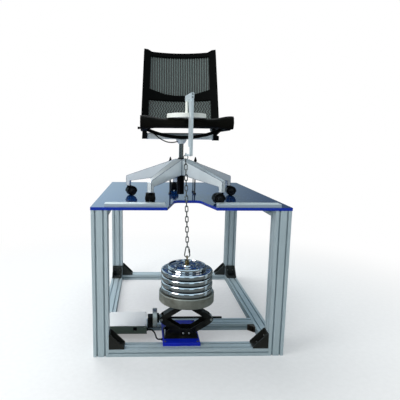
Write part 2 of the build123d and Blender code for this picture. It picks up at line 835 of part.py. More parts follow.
def gas_tube():
    tube = rod((HX, HY, TABLE_H + 60), (HX, HY, HOUSING_Z + 14), TUBE_R)
    return tube


CABLE_R = 3.0
CABLE_POINTS = [
    (-224.0, -68.0, 75.0),
    (-206.0, -71.0, 69.0),
    (-184.0, -84.0, 51.0),
    (-152.0, -88.0, 25.0),
    (-116.0, -76.0, 8.0),
    (-80.0, -46.0, 5.0),
    (-51.0, -10.0, 11.0),
]
CABLE_ROUTE = [(x, HY + y, HOUSING_Z + z) for x, y, z in CABLE_POINTS]


def seat():
    write("seat_cushion", seat_roll() + seat_pad())
    write("seat_frame", seat_frame())
    write("seat_beam", seat_beam())
    write("seat_housing", housing())
    write("gas_tube", gas_tube())
    write("seat_cable", route_tube(CABLE_ROUTE, CABLE_R))


# Backrest

LEAN = math.radians(BACK_LEAN)
BACK_UP = (0, math.sin(LEAN), math.cos(LEAN))
BACK_IN = (0, -math.cos(LEAN), math.sin(LEAN))


def back_slab(thickness, shift=0.0):
    """A curved upright slab, its middle set back from its edges."""
    half = BACK_LOW_HALF
    radius = (half * half + BACK_SAG * BACK_SAG) / (2 * BACK_SAG)
    plane = Plane(origin=BACK_ORIGIN, x_dir=(1, 0, 0), z_dir=BACK_UP)
    middle = radius + shift
    ring = Circle(middle + thickness / 2) - Circle(middle - thickness / 2)
    ring &= Pos(0, radius) * Rectangle(3 * half, 4 * (BACK_SAG + thickness))
    ring = Pos(0, BACK_SAG - radius) * ring
    return extrude(plane * Pos(0, 0, -60) * ring, amount=620)


def back_prism(points):
    outline = make_face(Polyline(*points, close=True))
    plane = Plane(origin=BACK_ORIGIN, x_dir=(1, 0, 0), z_dir=BACK_IN)
    return extrude(plane * outline, amount=160, both=True)


def half_at(s):
    """Half width of the back at a height along it."""
    t = s / BACK_TOP
    return BACK_LOW_HALF + (BACK_TOP_HALF - BACK_LOW_HALF) * t


def mirrored(points):
    return points + [(-x, s) for x, s in reversed(points)]


def back_windows():
    top = mirrored([(-half_at(440) + 42, 446), (-half_at(250) + 42, 238), (-90, 210), (-30, 203)])
    low = mirrored([(-half_at(150) + 42, 172), (-half_at(60) + 42, 48), (-90, 44)])
    return back_prism(top), back_prism(low)


def back_frame():
    h = BACK_TOP_HALF
    outline = mirrored(
        [
            (-LEG_X[1], -26),
            (-half_at(120), 120),
            (-half_at(250), 250),
            (-h, 464),
            (-h + 2, 484),
            (-h + 26, 483),
            (-h + 50, BACK_TOP),
            (-80, BACK_TOP),
        ]
    )
    middle = [(LEG_X[0], -26), (LEG_X[0], 6), (LEG_X[0] - 40, 14)]
    middle += [(-x, s) for x, s in reversed(middle)]
    body = back_prism(outline + middle) & back_slab(BACK_T)
    for window in back_windows():
        body -= window
    for side in (-1, 1):
        x0 = CHAIR_X + side * LEG_X[0]
        x1 = CHAIR_X + side * LEG_X[1]
        body += rod((x0, RECLINE_Y, RECLINE_Z), (x1, RECLINE_Y, RECLINE_Z), 14)
        body -= rod((x0 - 60, RECLINE_Y, RECLINE_Z), (x1 + 60, RECLINE_Y, RECLINE_Z), 6 + RUN_GAP)
    return body


def backrest():
    write("back_frame", back_frame())
    sheet = back_slab(4)
    write("back_mesh", *[sheet & window for window in back_windows()])


# Loader, chain and weights

DISC_Z = SEAT_TOP + SEAT_GAP
LEG_BACK = -88.0
LEG_FRONT = -146.0
STEM_THICK = 13.0


def turned(shape):
    return Pos(LOAD_X, LOAD_Y, 0) * Rot(0, 0, LOADER_TURN) * shape


def load_disc():
    z0 = DISC_Z
    disc = Pos(0, 0, z0) * Cylinder(
        LOAD_DISC_R, LOAD_DISC_T, align=(Align.CENTER, Align.CENTER, Align.MIN)
    )
    disc = fillet(disc.edges().filter_by(GeomType.CIRCLE), 3)
    half = LOADER_T / 2 + 1
    disc -= box(-half, half, -LOAD_DISC_R - 1, LEG_BACK + 1, z0 - 1, z0 + LOAD_DISC_T + 1)
    stem = rod((0, 0, z0 + LOAD_DISC_T), (0, 0, LOADER_Z), STEM_THICK / 2)
    return turned(disc + stem)


def load_plate():
    """The flat C: a top arm, a front leg and a thin lower arm with an eye."""
    front = LEG_FRONT
    z = LOADER_Z
    top = z + ARM_H
    arm = across([(front, z), (8, z), (8, top), (front, top)], 0, LOADER_T + 3)
    low = RING_Z + 11.5
    leg = [
        (front, z),
        (LEG_BACK + 12, z),
        (LEG_BACK, z - 48),
        (LEG_BACK, low + 59),
        (LEG_BACK - 8, low + 43),
        (front + 24, low + 43),
        (front + 24, low + 7),
        (front + 18, low),
        (front + 6, low),
        (front, low + 6),
    ]
    leg = across(leg, 0, LOADER_T)
    eye_z = RING_Z + RING_R - RING_WIRE / 2 + 2.0
    start = front + 22
    tie = across([(start, eye_z - 4), (0, eye_z - 4), (0, eye_z + 4), (start, eye_z + 4)], 0, 5)
    tie += rod((-2.5, 0, eye_z), (2.5, 0, eye_z), 9)
    tie -= rod((-6, 0, eye_z), (6, 0, eye_z), RING_WIRE / 2 + 2.5)
    plate = arm + leg + tie
    hole = (front + 12, low + 13)
    plate -= rod((-20, *hole), (20, *hole), 3)
    for y in (front + 14, LEG_BACK):
        plate += rod((-LOADER_T / 2 - 3, y, z - 10), (LOADER_T / 2 + 3, y, z - 10), 3.5)
    return turned(plate)


def link(length, width, wire):
    """One oval link of round wire, upright in the XZ plane."""
    r = (width - wire) / 2
    half = (length - wire) / 2 - r
    torus = Rot(90, 0, 0) * Torus(r, wire / 2)
    upper = Pos(0, 0, half) * (torus & Pos(0, 0, width) * Box(4 * width, 4 * width, 2 * width))
    lower = Pos(0, 0, -half) * (torus & Pos(0, 0, -width) * Box(4 * width, 4 * width, 2 * width))
    sides = [rod((s * r, 0, -half), (s * r, 0, half), wire / 2) for s in (-1, 1)]
    return upper + lower + sides[0] + sides[1]


def chain():
    """Links set at right angles in turn along the line from ring to hook."""
    above = Vector(LOAD_X, LOAD_Y, RING_Z - RING_R + RING_WIRE + LINK_GAP + LINK_WIRE)
    below = Vector(STACK_X, LOAD_Y, HOOK_HIGH - HOOK_WIRE - LINK_GAP - LINK_WIRE)
    run = below - above
    down = run.normalized()
    length = (run.length + (LINKS - 1) * (2 * LINK_WIRE + LINK_GAP)) / LINKS
    pitch = length - 2 * LINK_WIRE - LINK_GAP
    print("chain pitch", round(pitch, 2), "link length", round(length, 2))
    lean = math.degrees(math.atan2(run.X, -run.Z))
    piece = link(length, LINK_W, LINK_WIRE)
    solids = []
    for i in range(LINKS):
        centre = above + down * (length / 2 + i * pitch)
        twist = 90 if i % 2 == 0 else 0
        solids.append(Pos(centre.X, centre.Y, centre.Z) * Rot(0, -lean, 0) * Rot(0, 0, twist) * piece)
    ring = Pos(LOAD_X, LOAD_Y, RING_Z) * Rot(90, 0, 0) * Torus(RING_R - RING_WIRE / 2, RING_WIRE / 2)
    return [ring] + solids


def bend(z, radius, start, turn, wire):
    """Part of a ring of wire in the XZ plane, from one angle through another."""
    at = math.radians(start)
    origin = (radius * math.cos(at), 0, z + radius * math.sin(at))
    plane = Plane(origin=origin, x_dir=(0, 1, 0), z_dir=(-math.sin(at), 0, math.cos(at)))
    return revolve(plane * Circle(wire), Axis((0, 0, z), (0, -1, 0)), turn)


def snap_hook():
    """A pear-shaped ring of wire, narrow above, with a sleeve on one side."""
    wire = HOOK_WIRE / 2
    high = HOOK_HIGH - HOOK_TOP_R
    low = HOOK_LOW + HOOK_W / 2
    upper = HOOK_TOP_R - wire
    lower = HOOK_W / 2 - wire
    sine = (lower - upper) / (high - low)
    cosine = math.sqrt(1 - sine * sine)
    tilt = math.degrees(math.asin(sine))
    body = bend(high, upper, tilt, 180 - 2 * tilt, wire)
    body += bend(low, lower, 180 - tilt, 180 + 2 * tilt, wire)
    for side in (-1, 1):
        a = Vector(side * upper * cosine, 0, high + upper * sine)
        b = Vector(side * lower * cosine, 0, low + lower * sine)
        body += rod(tuple(a), tuple(b), wire)
        if side > 0:
            body += rod(tuple(a + (b - a) * 0.2), tuple(a + (b - a) * 0.75), wire + 1.6)
    return Pos(STACK_X, LOAD_Y, 0) * body


def hanger():
    """Rod through the weights with a head below and an eye on top."""
    x, y = STACK_X, LOAD_Y
    body = rod((x, y, STACK_Z + 6), (x, y, STACK_TOP + 6), HANGER_R)
    body += rod((x, y, STACK_Z + 1), (x, y, STACK_Z + 13.7), 22)
    collar = rod((x, y, STACK_TOP + SEAT_GAP), (x, y, STACK_TOP + 24), 11)
    collar = chamfer(collar.edges().group_by(Axis.Z)[-1], 2)
    body += collar
    eye = Pos(x, y, HOOK_LOW) * Rot(0, 90, 0) * Torus(10.5, 3.5)
    return body + eye


def weight(radius, height, z):
    """One round weight with a rolled rim and a hole for the hanger."""
    disc = Pos(STACK_X, LOAD_Y, z) * Cylinder(
        radius, height, align=(Align.CENTER, Align.CENTER, Align.MIN)
    )
    edges = disc.edges().filter_by(GeomType.CIRCLE)
    disc = fillet(edges, height * 0.36)
    return disc - rod((STACK_X, LOAD_Y, z - 1), (STACK_X, LOAD_Y, z + height + 1), HANGER_R + RUN_GAP)


def weight_top():
    """The smaller top weight, with a sunk face and a raised ring."""
    z0 = STACK_Z + BASE_H + DISC_COUNT * DISC_H
    z1 = z0 + TOP_H
    bore = HANGER_R + RUN_GAP
    profile = [
        (bore, z0),
        (TOP_R - 2, z0),
        (TOP_R, z0 + 4),
        (TOP_R, z1 - 4),
        (TOP_R - 3, z1),
        (TOP_R - 8, z1),
        (TOP_R - 10, z1 - 5),
        (68, z1 - 5),
        (65, z1 - 2),
        (52, z1 - 2),
        (49, z1 - 5),
        (28, z1 - 5),
        (25, z1),
        (bore, z1),
    ]
    disc = revolve(make_face(Plane.XZ * Polyline(*profile, close=True)), Axis.Z)
    return Pos(STACK_X, LOAD_Y, 0) * disc


def weight_base():
    z = STACK_Z
    disc = Pos(STACK_X, LOAD_Y, z) * Cylinder(
        BASE_R, BASE_H, align=(Align.CENTER, Align.CENTER, Align.MIN)
    )
    disc = chamfer(disc.edges().filter_by(GeomType.CIRCLE), 3)
    recess = rod((STACK_X, LOAD_Y, z - 1), (STACK_X, LOAD_Y, z + 14), 22 + RUN_GAP)
    bore = rod((STACK_X, LOAD_Y, z - 1), (STACK_X, LOAD_Y, z + BASE_H + 1), HANGER_R + RUN_GAP)
    return disc - recess - bore


def loader():
    write("load_disc", load_disc())
    write("load_plate", load_plate())
    write("load_chain", *chain())
    write("snap_hook", snap_hook())
    write("hanger", hanger())
    write("weight_base", weight_base())
    z = STACK_Z + BASE_H
    discs = [weight(DISC_R, DISC_H, z + i * DISC_H) for i in range(DISC_COUNT)]
    write("weight_discs", *discs)
    write("weight_top", weight_top())


frame()
jack()
control()
chair_base()
clamp()
seat()
backrest()
loader()
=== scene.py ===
import math

import bmesh
import bpy
from mathutils import Matrix, Vector, noise
from mathutils.bvhtree import BVHTree


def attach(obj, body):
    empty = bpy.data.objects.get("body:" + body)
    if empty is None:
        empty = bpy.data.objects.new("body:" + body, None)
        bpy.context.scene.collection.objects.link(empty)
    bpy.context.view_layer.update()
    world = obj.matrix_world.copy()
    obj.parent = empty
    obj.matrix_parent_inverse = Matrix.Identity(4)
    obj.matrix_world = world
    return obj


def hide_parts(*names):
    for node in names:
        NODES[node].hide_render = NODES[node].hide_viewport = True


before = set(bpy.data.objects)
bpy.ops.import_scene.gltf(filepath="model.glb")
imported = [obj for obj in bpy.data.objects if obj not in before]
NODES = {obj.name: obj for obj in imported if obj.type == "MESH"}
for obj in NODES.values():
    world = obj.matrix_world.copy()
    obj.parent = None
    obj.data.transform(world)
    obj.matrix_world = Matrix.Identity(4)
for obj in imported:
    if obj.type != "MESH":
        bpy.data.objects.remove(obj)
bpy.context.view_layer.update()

# Camera, fitted to the photograph

CAMERA_AT = Vector((-0.22482, -2.57985, 1.10189))
CAMERA_YAW = 0.03483
CAMERA_PITCH = 0.16544
CAMERA_ROLL = 0.00936
FOCAL_PX = 401.517
CENTRE_PX = (160.344, 209.924)
IMAGE = 400.0
SENSOR = 36.0


def add_camera():
    yaw, pitch, roll = CAMERA_YAW, CAMERA_PITCH, CAMERA_ROLL
    forward = Vector((
        math.sin(yaw) * math.cos(pitch),
        math.cos(yaw) * math.cos(pitch),
        -math.sin(pitch),
    ))
    level = Vector((math.cos(yaw), -math.sin(yaw), 0.0))
    upright = level.cross(forward)
    right = level * math.cos(roll) + upright * math.sin(roll)
    up = upright * math.cos(roll) - level * math.sin(roll)
    data = bpy.data.cameras.new("camera")
    data.sensor_width = SENSOR
    data.lens = SENSOR * FOCAL_PX / IMAGE
    data.shift_x = (IMAGE / 2 - CENTRE_PX[0]) / IMAGE
    data.shift_y = (CENTRE_PX[1] - IMAGE / 2) / IMAGE
    data.clip_end = 50.0
    camera = bpy.data.objects.new("camera", data)
    turn = Matrix((right, up, -forward)).transposed()
    camera.matrix_world = Matrix.Translation(CAMERA_AT) @ turn.to_4x4()
    bpy.context.scene.collection.objects.link(camera)
    bpy.context.scene.camera = camera


# Material helpers

EDGE = 0.0007
# Widths of the painted shade along cast edges and plated rims.
CAST_EDGE = 0.008
RIM_EDGE = 0.0055


class Graph:
    """A short way to wire a node tree."""

    def __init__(self, tree):
        self.tree = tree

    def add(self, kind, **values):
        node = self.tree.nodes.new(kind)
        for key, value in values.items():
            if key in node.inputs:
                node.inputs[key].default_value = value
            else:
                setattr(node, key, value)
        return node

    def link(self, source, target):
        self.tree.links.new(source, target)

    def calc(self, operation, *values):
        """The result of a sum on sockets and numbers."""
        node = self.add("ShaderNodeMath", operation=operation)
        for socket, value in zip(node.inputs, values):
            if isinstance(value, (int, float)):
                socket.default_value = value
            else:
                self.link(value, socket)
        return node.outputs["Value"]

    def span(self, value, low, high, start=0.3, end=0.7, smooth=False):
        """A value stretched from one range to another."""
        node = self.add("ShaderNodeMapRange")
        if smooth:
            node.interpolation_type = "SMOOTHSTEP"
        node.inputs["From Min"].default_value = start
        node.inputs["From Max"].default_value = end
        node.inputs["To Min"].default_value = low
        node.inputs["To Max"].default_value = high
        self.link(value, node.inputs["Value"])
        return node.outputs["Result"]

    def mix(self, fac, first, second):
        """One shader blended into another."""
        node = self.add("ShaderNodeMixShader")
        self.link(fac, node.inputs["Fac"])
        self.link(first, node.inputs[1])
        self.link(second, node.inputs[2])
        return node.outputs["Shader"]


class Nodes(Graph):
    """The node tree of one material."""

    def __init__(self, name):
        self.material = bpy.data.materials.new(name)
        self.material.use_nodes = True
        super().__init__(self.material.node_tree)
        self.shader = self.tree.nodes["Principled BSDF"]

    def set(self, **values):
        names = {
            "color": "Base Color",
            "metal": "Metallic",
            "rough": "Roughness",
            "coat": "Coat Weight",
            "coat_rough": "Coat Roughness",
            "sheen": "Sheen Weight",
            "sheen_rough": "Sheen Roughness",
            "aniso": "Anisotropic",
            "spec": "Specular IOR Level",
        }
        for key, value in values.items():
            if key == "color":
                value = (*value, 1.0)
            self.shader.inputs[names[key]].default_value = value

    def place(self, scale=(1.0, 1.0, 1.0), turn=(0.0, 0.0, 0.0)):
        """Object coordinates, scaled and turned."""
        coords = self.add("ShaderNodeTexCoord")
        mapping = self.add("ShaderNodeMapping")
        mapping.inputs["Scale"].default_value = scale
        mapping.inputs["Rotation"].default_value = turn
        self.link(coords.outputs["Object"], mapping.inputs["Vector"])
        return mapping.outputs["Vector"]

    def noise(self, vector, scale, detail=3.0, rough=0.5):
        node = self.add("ShaderNodeTexNoise", Scale=scale, Detail=detail, Roughness=rough)
        self.link(vector, node.inputs["Vector"])
        return node.outputs["Fac"]

    def tint(self, value, low, high, start=0.35, end=0.65):
        """A colour between two, driven by a value."""
        ramp = self.add("ShaderNodeValToRGB")
        ramp.color_ramp.elements[0].position = start
        ramp.color_ramp.elements[0].color = (*low, 1.0)
        ramp.color_ramp.elements[1].position = end
        ramp.color_ramp.elements[1].color = (*high, 1.0)
        self.link(value, ramp.inputs["Fac"])
        self.link(ramp.outputs["Color"], self.shader.inputs["Base Color"])

    def facing(self, axis, start, end):
        """How far a face looks along an axis of the object, from 0 to 1."""
        coords = self.add("ShaderNodeTexCoord")
        split = self.add("ShaderNodeSeparateXYZ")
        self.link(coords.outputs["Normal"], split.inputs["Vector"])
        return self.span(split.outputs[axis], 0.0, 1.0, start, end)

    def two_tone(self, fac, first, second):
        """Blend two colours by a value and use them as the base colour."""
        node = self.add("ShaderNodeMix", data_type="RGBA")
        self.link(fac, node.inputs["Factor"])
        for socket, value in ((node.inputs[6], first), (node.inputs[7], second)):
            if isinstance(value, tuple):
                socket.default_value = (*value, 1.0)
            else:
                self.link(value, socket)
        self.link(node.outputs[2], self.shader.inputs["Base Color"])

    def bump(self, value, strength, distance, edge=0.0):
        """Relief from a value, with the solid's own edges rounded off a little."""
        node = self.add("ShaderNodeBump", Strength=strength, Distance=distance)
        self.link(value, node.inputs["Height"])
        if edge:
            bevel = self.add("ShaderNodeBevel", Radius=edge, samples=4)
            self.link(bevel.outputs["Normal"], node.inputs["Normal"])
        self.link(node.outputs["Normal"], self.shader.inputs["Normal"])

    def edge_shade_mask(self, radius):
        """1 along the solid's sharp edges and 0 on its faces: the mask for painted shade along edges."""
        bevel = self.add("ShaderNodeBevel", Radius=radius, samples=6)
        flat = self.add("ShaderNodeNewGeometry")
        dot = self.add("ShaderNodeVectorMath", operation="DOT_PRODUCT")
        self.link(bevel.outputs["Normal"], dot.inputs[0])
        self.link(flat.outputs["Normal"], dot.inputs[1])
        return self.span(dot.outputs["Value"], 1.0, 0.0, 0.86, 0.96, True)

    def roughen(self, value, low, high, start=0.3, end=0.7):
        self.link(self.span(value, low, high, start, end), self.shader.inputs["Roughness"])


def brushed(name, color, along, metal=0.9, rough=(0.28, 0.42), darker=0.86):
    """Metal brushed or drawn along one axis."""
    m = Nodes(name)
    m.set(metal=metal, color=color)
    stretch = [260.0, 260.0, 260.0]
    stretch["XYZ".index(along)] = 3.0
    grain = m.noise(m.place(tuple(stretch)), 1.0, 4.0, 0.6)
    low = tuple(c * darker for c in color)
    m.tint(grain, low, color, 0.3, 0.7)
    m.roughen(grain, *rough)
    m.bump(grain, 0.12, 0.0004, EDGE)
    return m.material


def painted(name, color, rough=0.4, coat=0.0, grain=900.0, strength=0.08, metal=0.0, spec=0.2):
    """Paint or moulded plastic with a fine surface texture."""
    m = Nodes(name)
    m.set(metal=metal, coat=coat, coat_rough=0.08, spec=spec)
    vector = m.place()
    fine = m.noise(vector, grain, 2.0)
    broad = m.noise(vector, 9.0, 3.0)
    m.tint(broad, tuple(c * 0.86 for c in color), tuple(min(1.0, c * 1.1) for c in color))
    m.roughen(broad, rough * 0.85, rough * 1.15)
    m.bump(fine, strength, 0.0003, EDGE)
    return m.material


def profile_metal(along):
    return brushed(f"profile_{along}", (0.56, 0.66, 0.70), along, 0.3, (0.3, 0.42), 0.92)


def polished_cast():
    """Polished cast aluminium with faint waves, and painted shade along its edges."""
    m = Nodes("polished_cast")
    m.set(metal=0.35)
    vector = m.place()
    wave = m.noise(vector, 6.0, 2.0)
    fine = m.noise(vector, 320.0, 2.0)
    # The worn mask is painted shade along the edges, towards a dark blue, plus faint random waves.
    worn = m.calc("ADD", m.edge_shade_mask(CAST_EDGE), m.calc("MULTIPLY", m.span(wave, 0.0, 1.0), 0.06))
    m.two_tone(worn, (0.88, 0.93, 0.95), (0.05, 0.08, 0.16))
    m.roughen(wave, 0.20, 0.25)
    m.bump(fine, 0.04, 0.0003, EDGE)
    return m.material


def blue_gloss():
    """Deep gloss blue paint under a clear coat."""
    m = Nodes("blue_gloss")
    m.set(coat=1.0, coat_rough=0.02, spec=0.5)
    vector = m.place()
    cloud = m.noise(vector, 5.0, 2.0)
    peel = m.noise(vector, 240.0, 2.0)
    # Painted shade: the sides of the top take a darker, deeper blue than its top and underside.
    side = m.calc("MULTIPLY", m.facing("Z", 0.8, 0.2), m.facing("Z", -0.8, -0.2))
    m.two_tone(side, (0.004, 0.055, 0.24), (0.006, 0.03, 0.36))
    m.roughen(cloud, 0.08, 0.14)
    m.bump(peel, 0.02, 0.0002)
    return m.material


def chrome(name, color):
    """Plated steel with a slight ripple, and painted shade along its edges and on faces that look down."""
    m = Nodes(name)
    m.set(metal=1.0)
    vector = m.place()
    ripple = m.noise(vector, 30.0, 2.0)
    # Painted shade: faces that look down, and edges such as the lines between stacked discs, take a
    # near-black colour.
    under = m.facing("Z", -0.1, -0.5)
    m.two_tone(m.calc("MAXIMUM", m.edge_shade_mask(RIM_EDGE), under), color, (0.03, 0.035, 0.05))
    smear = m.noise(m.place((1.0, 1.0, 6.0)), 22.0, 4.0)
    m.roughen(smear, 0.05, 0.14)
    m.bump(ripple, 0.03, 0.0015)
    return m.material


def turned_steel(name, low, high, rough=(0.28, 0.5)):
    """Steel turned on a lathe, with bands around its axis and rusty patches."""
    m = Nodes(name)
    m.set(metal=0.85)
    rings = m.noise(m.place((4.0, 4.0, 420.0)), 1.0, 5.0, 0.7)
    patch = m.noise(m.place(), 16.0, 5.0, 0.7)
    m.tint(patch, low, high, 0.3, 0.7)
    m.roughen(patch, *rough)
    m.bump(rings, 0.25, 0.0006, EDGE)
    return m.material


def black_steel():
    """Blackened steel with oily, worn patches."""
    m = Nodes("black_steel")
    m.set(metal=0.35, spec=0.3)
    vector = m.place()
    patch = m.noise(vector, 30.0, 5.0, 0.65)
    fine = m.noise(vector, 500.0, 2.0)
    m.tint(patch, (0.004, 0.004, 0.004), (0.026, 0.026, 0.021), 0.4, 0.75)
    m.roughen(patch, 0.28, 0.5)
    m.bump(fine, 0.15, 0.0004, EDGE)
    return m.material


def box_enamel_and_shade():
    """White enamel on the case's lid, and painted shade on its sides: every face that does not look up is
    grey-green.
    """
    m = Nodes("box_enamel_and_shade")
    m.set(spec=0.3)
    vector = m.place()
    broad = m.noise(vector, 9.0, 3.0)
    fine = m.noise(vector, 600.0, 2.0)
    # Painted shade: faces that look up are white, all others a grey-green.
    m.two_tone(m.facing("Z", 0.2, 0.6), (0.085, 0.11, 0.09), (0.95, 0.95, 0.95))
    m.roughen(broad, 0.3, 0.4)
    m.bump(fine, 0.06, 0.0003)
    return m.material


def threaded_rod():
    """Dark studding with its thread as fine bands."""
    m = Nodes("threaded_rod")
    m.set(metal=0.7, spec=0.3)
    vector = m.place()
    bands = m.add("ShaderNodeTexWave", Scale=210.0, Distortion=0.0)
    bands.bands_direction = "Z"
    m.link(vector, bands.inputs["Vector"])
    m.tint(bands.outputs["Fac"], (0.004, 0.004, 0.004), (0.05, 0.052, 0.05), 0.4, 0.9)
    m.shader.inputs["Roughness"].default_value = 0.4
    m.bump(bands.outputs["Fac"], 0.4, 0.0006)
    return m.material


def woven_black():
    """Close black upholstery weave with a dusty sheen."""
    m = Nodes("woven_black")
    m.set(sheen=0.02, sheen_rough=0.4, spec=0.08)
    vector = m.place()
    warp = m.add("ShaderNodeTexWave", Scale=420.0, Distortion=0.6)
    warp.bands_direction = "X"
    weft = m.add("ShaderNodeTexWave", Scale=420.0, Distortion=0.6)
    weft.bands_direction = "DIAGONAL"
    m.link(vector, warp.inputs["Vector"])
    m.link(vector, weft.inputs["Vector"])
    both = m.add("ShaderNodeMath", operation="MULTIPLY")
    m.link(warp.outputs["Fac"], both.inputs[0])
    m.link(weft.outputs["Fac"], both.inputs[1])
    broad = m.noise(vector, 12.0, 4.0)
    m.tint(broad, (0.002, 0.0018, 0.0012), (0.006, 0.005, 0.003), 0.3, 0.75)
    m.roughen(broad, 0.6, 0.8)
    m.bump(both.outputs["Value"], 0.5, 0.0006)
    return m.material


def zigzag(m, vector, reach, rise):
    """Coordinates pushed to and fro along X as they climb."""
    split = m.add("ShaderNodeSeparateXYZ")
    m.link(vector, split.inputs["Vector"])
    shift = m.calc("MULTIPLY", m.calc("PINGPONG", split.outputs["Z"], rise), reach / rise)
    join = m.add("ShaderNodeCombineXYZ")
    m.link(m.calc("ADD", split.outputs["X"], shift), join.inputs["X"])
    m.link(split.outputs["Y"], join.inputs["Y"])
    m.link(split.outputs["Z"], join.inputs["Z"])
    return join.outputs["Vector"]


def open_mesh(name, stretch, cover, reach=0.0):
    """Open elastic mesh: bands of thread with gaps that show what is behind."""
    m = Nodes(name)
    m.set(spec=0.15)
    vector = m.place()
    if reach:
        vector = zigzag(m, vector, reach, 0.016)
    bands = m.add("ShaderNodeTexWave", Scale=stretch, Distortion=1.2)
    bands.bands_direction = "X"
    bands.inputs["Detail"].default_value = 2.0
    bands.inputs["Detail Scale"].default_value = 0.6
    cross = m.add("ShaderNodeTexWave", Scale=260.0, Distortion=0.3)
    cross.bands_direction = "Z"
    m.link(vector, bands.inputs["Vector"])
    m.link(vector, cross.inputs["Vector"])
    m.tint(bands.outputs["Fac"], (0.003, 0.005, 0.0045), (0.15, 0.195, 0.185), 0.3, 0.95)
    m.shader.inputs["Roughness"].default_value = 0.55
    holes = m.add("ShaderNodeMath", operation="MULTIPLY")
    m.link(bands.outputs["Fac"], holes.inputs[0])
    m.link(cross.outputs["Fac"], holes.inputs[1])
    m.link(m.span(holes.outputs["Value"], cover, 1.0, 0.0, 0.4), m.shader.inputs["Alpha"])
    m.bump(bands.outputs["Fac"], 0.4, 0.0008)
    return m.material


# Mesh helpers

CLOTH = {
    "quality": 6,
    "mass": 0.3,
    "tension_stiffness": 12.0,
    "compression_stiffness": 12.0,
    "shear_stiffness": 4.0,
    "bending_stiffness": 0.4,
}
CLOTH_FRAMES = 20
INWARD_STAYS = 0.8


def mesh_piece(name, vertices, faces, material, body, smooth=True):
    mesh = bpy.data.meshes.new(name)
    mesh.from_pydata([tuple(v) for v in vertices], [], faces)
    mesh.update()
    bm = bmesh.new()
    bm.from_mesh(mesh)
    bmesh.ops.recalc_face_normals(bm, faces=bm.faces)
    bm.to_mesh(mesh)
    bm.free()
    mesh.materials.append(material)
    if smooth:
        mesh.shade_smooth()
    piece = bpy.data.objects.new(name, mesh)
    bpy.context.scene.collection.objects.link(piece)
    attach(piece, body)
    return piece


def frame_along(direction):
    """Two directions square to a third."""
    d = Vector(direction).normalized()
    helper = Vector((0.0, 0.0, 1.0)) if abs(d.z) < 0.9 else Vector((1.0, 0.0, 0.0))
    u = d.cross(helper).normalized()
    return d, u, d.cross(u)


def lathe(centre, direction, profile, segments=24):
    """Vertices and faces of a profile of (distance, radius) turned about a line."""
    d, u, v = frame_along(direction)
    base = Vector(centre)
    vertices = []
    faces = []
    for distance, radius in profile:
        for i in range(segments):
            a = 2 * math.pi * i / segments
            vertices.append(base + d * distance + (u * math.cos(a) + v * math.sin(a)) * radius)
    for ring in range(len(profile) - 1):
        for i in range(segments):
            j = (i + 1) % segments
            a = ring * segments
            b = a + segments
            faces.append((a + i, a + j, b + j, b + i))
    faces.append(tuple(reversed(range(segments))))
    last = (len(profile) - 1) * segments
    faces.append(tuple(range(last, last + segments)))
    return vertices, faces


def joined(parts):
    """Several vertex and face lists as one."""
    vertices = []
    faces = []
    for part_vertices, part_faces in parts:
        start = len(vertices)
        vertices.extend(part_vertices)
        faces.extend(tuple(i + start for i in face) for face in part_faces)
    return vertices, faces


def tube(points, radius, closed=False, segments=8):
    """Vertices and faces of a round cord along a line of points."""
    points = [Vector(p) for p in points]
    count = len(points)
    vertices = []
    side = None
    for i, point in enumerate(points):
        ahead = points[(i + 1) % count] if closed else points[min(i + 1, count - 1)]
        behind = points[i - 1] if closed else points[max(i - 1, 0)]
        along = (ahead - behind).normalized()
        if side is None:
            side = frame_along(along)[1]
        side = (side - along * side.dot(along)).normalized()
        up = along.cross(side)
        for k in range(segments):
            a = 2 * math.pi * k / segments
            vertices.append(point + (side * math.cos(a) + up * math.sin(a)) * radius)
    faces = []
    for i in range(count if closed else count - 1):
        a = i * segments
        b = (i + 1) % count * segments
        for k in range(segments):
            j = (k + 1) % segments
            faces.append((a + k, a + j, b + j, b + k))
    if not closed:
        faces.append(tuple(reversed(range(segments))))
        faces.append(tuple(range((count - 1) * segments, count * segments)))
    return vertices, faces


def baked(piece, kind, **values):
    """Give the piece the mesh that one modifier makes of it."""
    modifier = piece.modifiers.new("shape", kind)
    for key, value in values.items():
        setattr(modifier, key, value)
    graph = bpy.context.evaluated_depsgraph_get()
    made = bpy.data.meshes.new_from_object(piece.evaluated_get(graph))
    piece.modifiers.clear()
    piece.data = made


def swollen(piece, voxel, pressure, cap, limit):
    """Remesh a closed piece and blow it up a little as cloth."""
    scene = bpy.context.scene
    baked(piece, "REMESH", mode="VOXEL", voxel_size=voxel)
    cloth = piece.modifiers.new("cloth", "CLOTH")
    settings = cloth.settings
    for key, value in CLOTH.items():
        setattr(settings, key, value)
    settings.use_pressure = True
    settings.uniform_pressure_force = pressure
    settings.effector_weights.gravity = 0.0
    cloth.point_cache.frame_start = 1
    cloth.point_cache.frame_end = CLOTH_FRAMES
    for step in range(1, CLOTH_FRAMES + 1):
        scene.frame_set(step)
    graph = bpy.context.evaluated_depsgraph_get()
    held = piece.evaluated_get(graph)
    shaped = held.to_mesh()
    moved = [vertex.co.copy() for vertex in shaped.vertices]
    held.to_mesh_clear()
    piece.modifiers.clear()
    scene.frame_set(1)
    normals = [vertex.normal.copy() for vertex in piece.data.vertices]
    for vertex, now, normal in zip(piece.data.vertices, moved, normals):
        step = now - vertex.co
        inward = min(0.0, step.dot(normal))
        step -= normal * inward * INWARD_STAYS
        if step.length > cap:
            step *= cap / step.length
        vertex.co = limit(vertex.co + step)
    baked(piece, "SUBSURF", levels=1, render_levels=1)
    piece.data.shade_smooth()


def socket_screw(centre, direction, radius=0.0055, height=0.005):
    """A cap screw head with its hexagon sunk in."""
    head = [
        (0.0, radius),
        (height * 0.85, radius),
        (height, radius * 0.88),
        (height, radius * 0.5),
        (height * 0.45, radius * 0.48),
    ]
    return lathe(centre, direction, head, 18)


# Studio

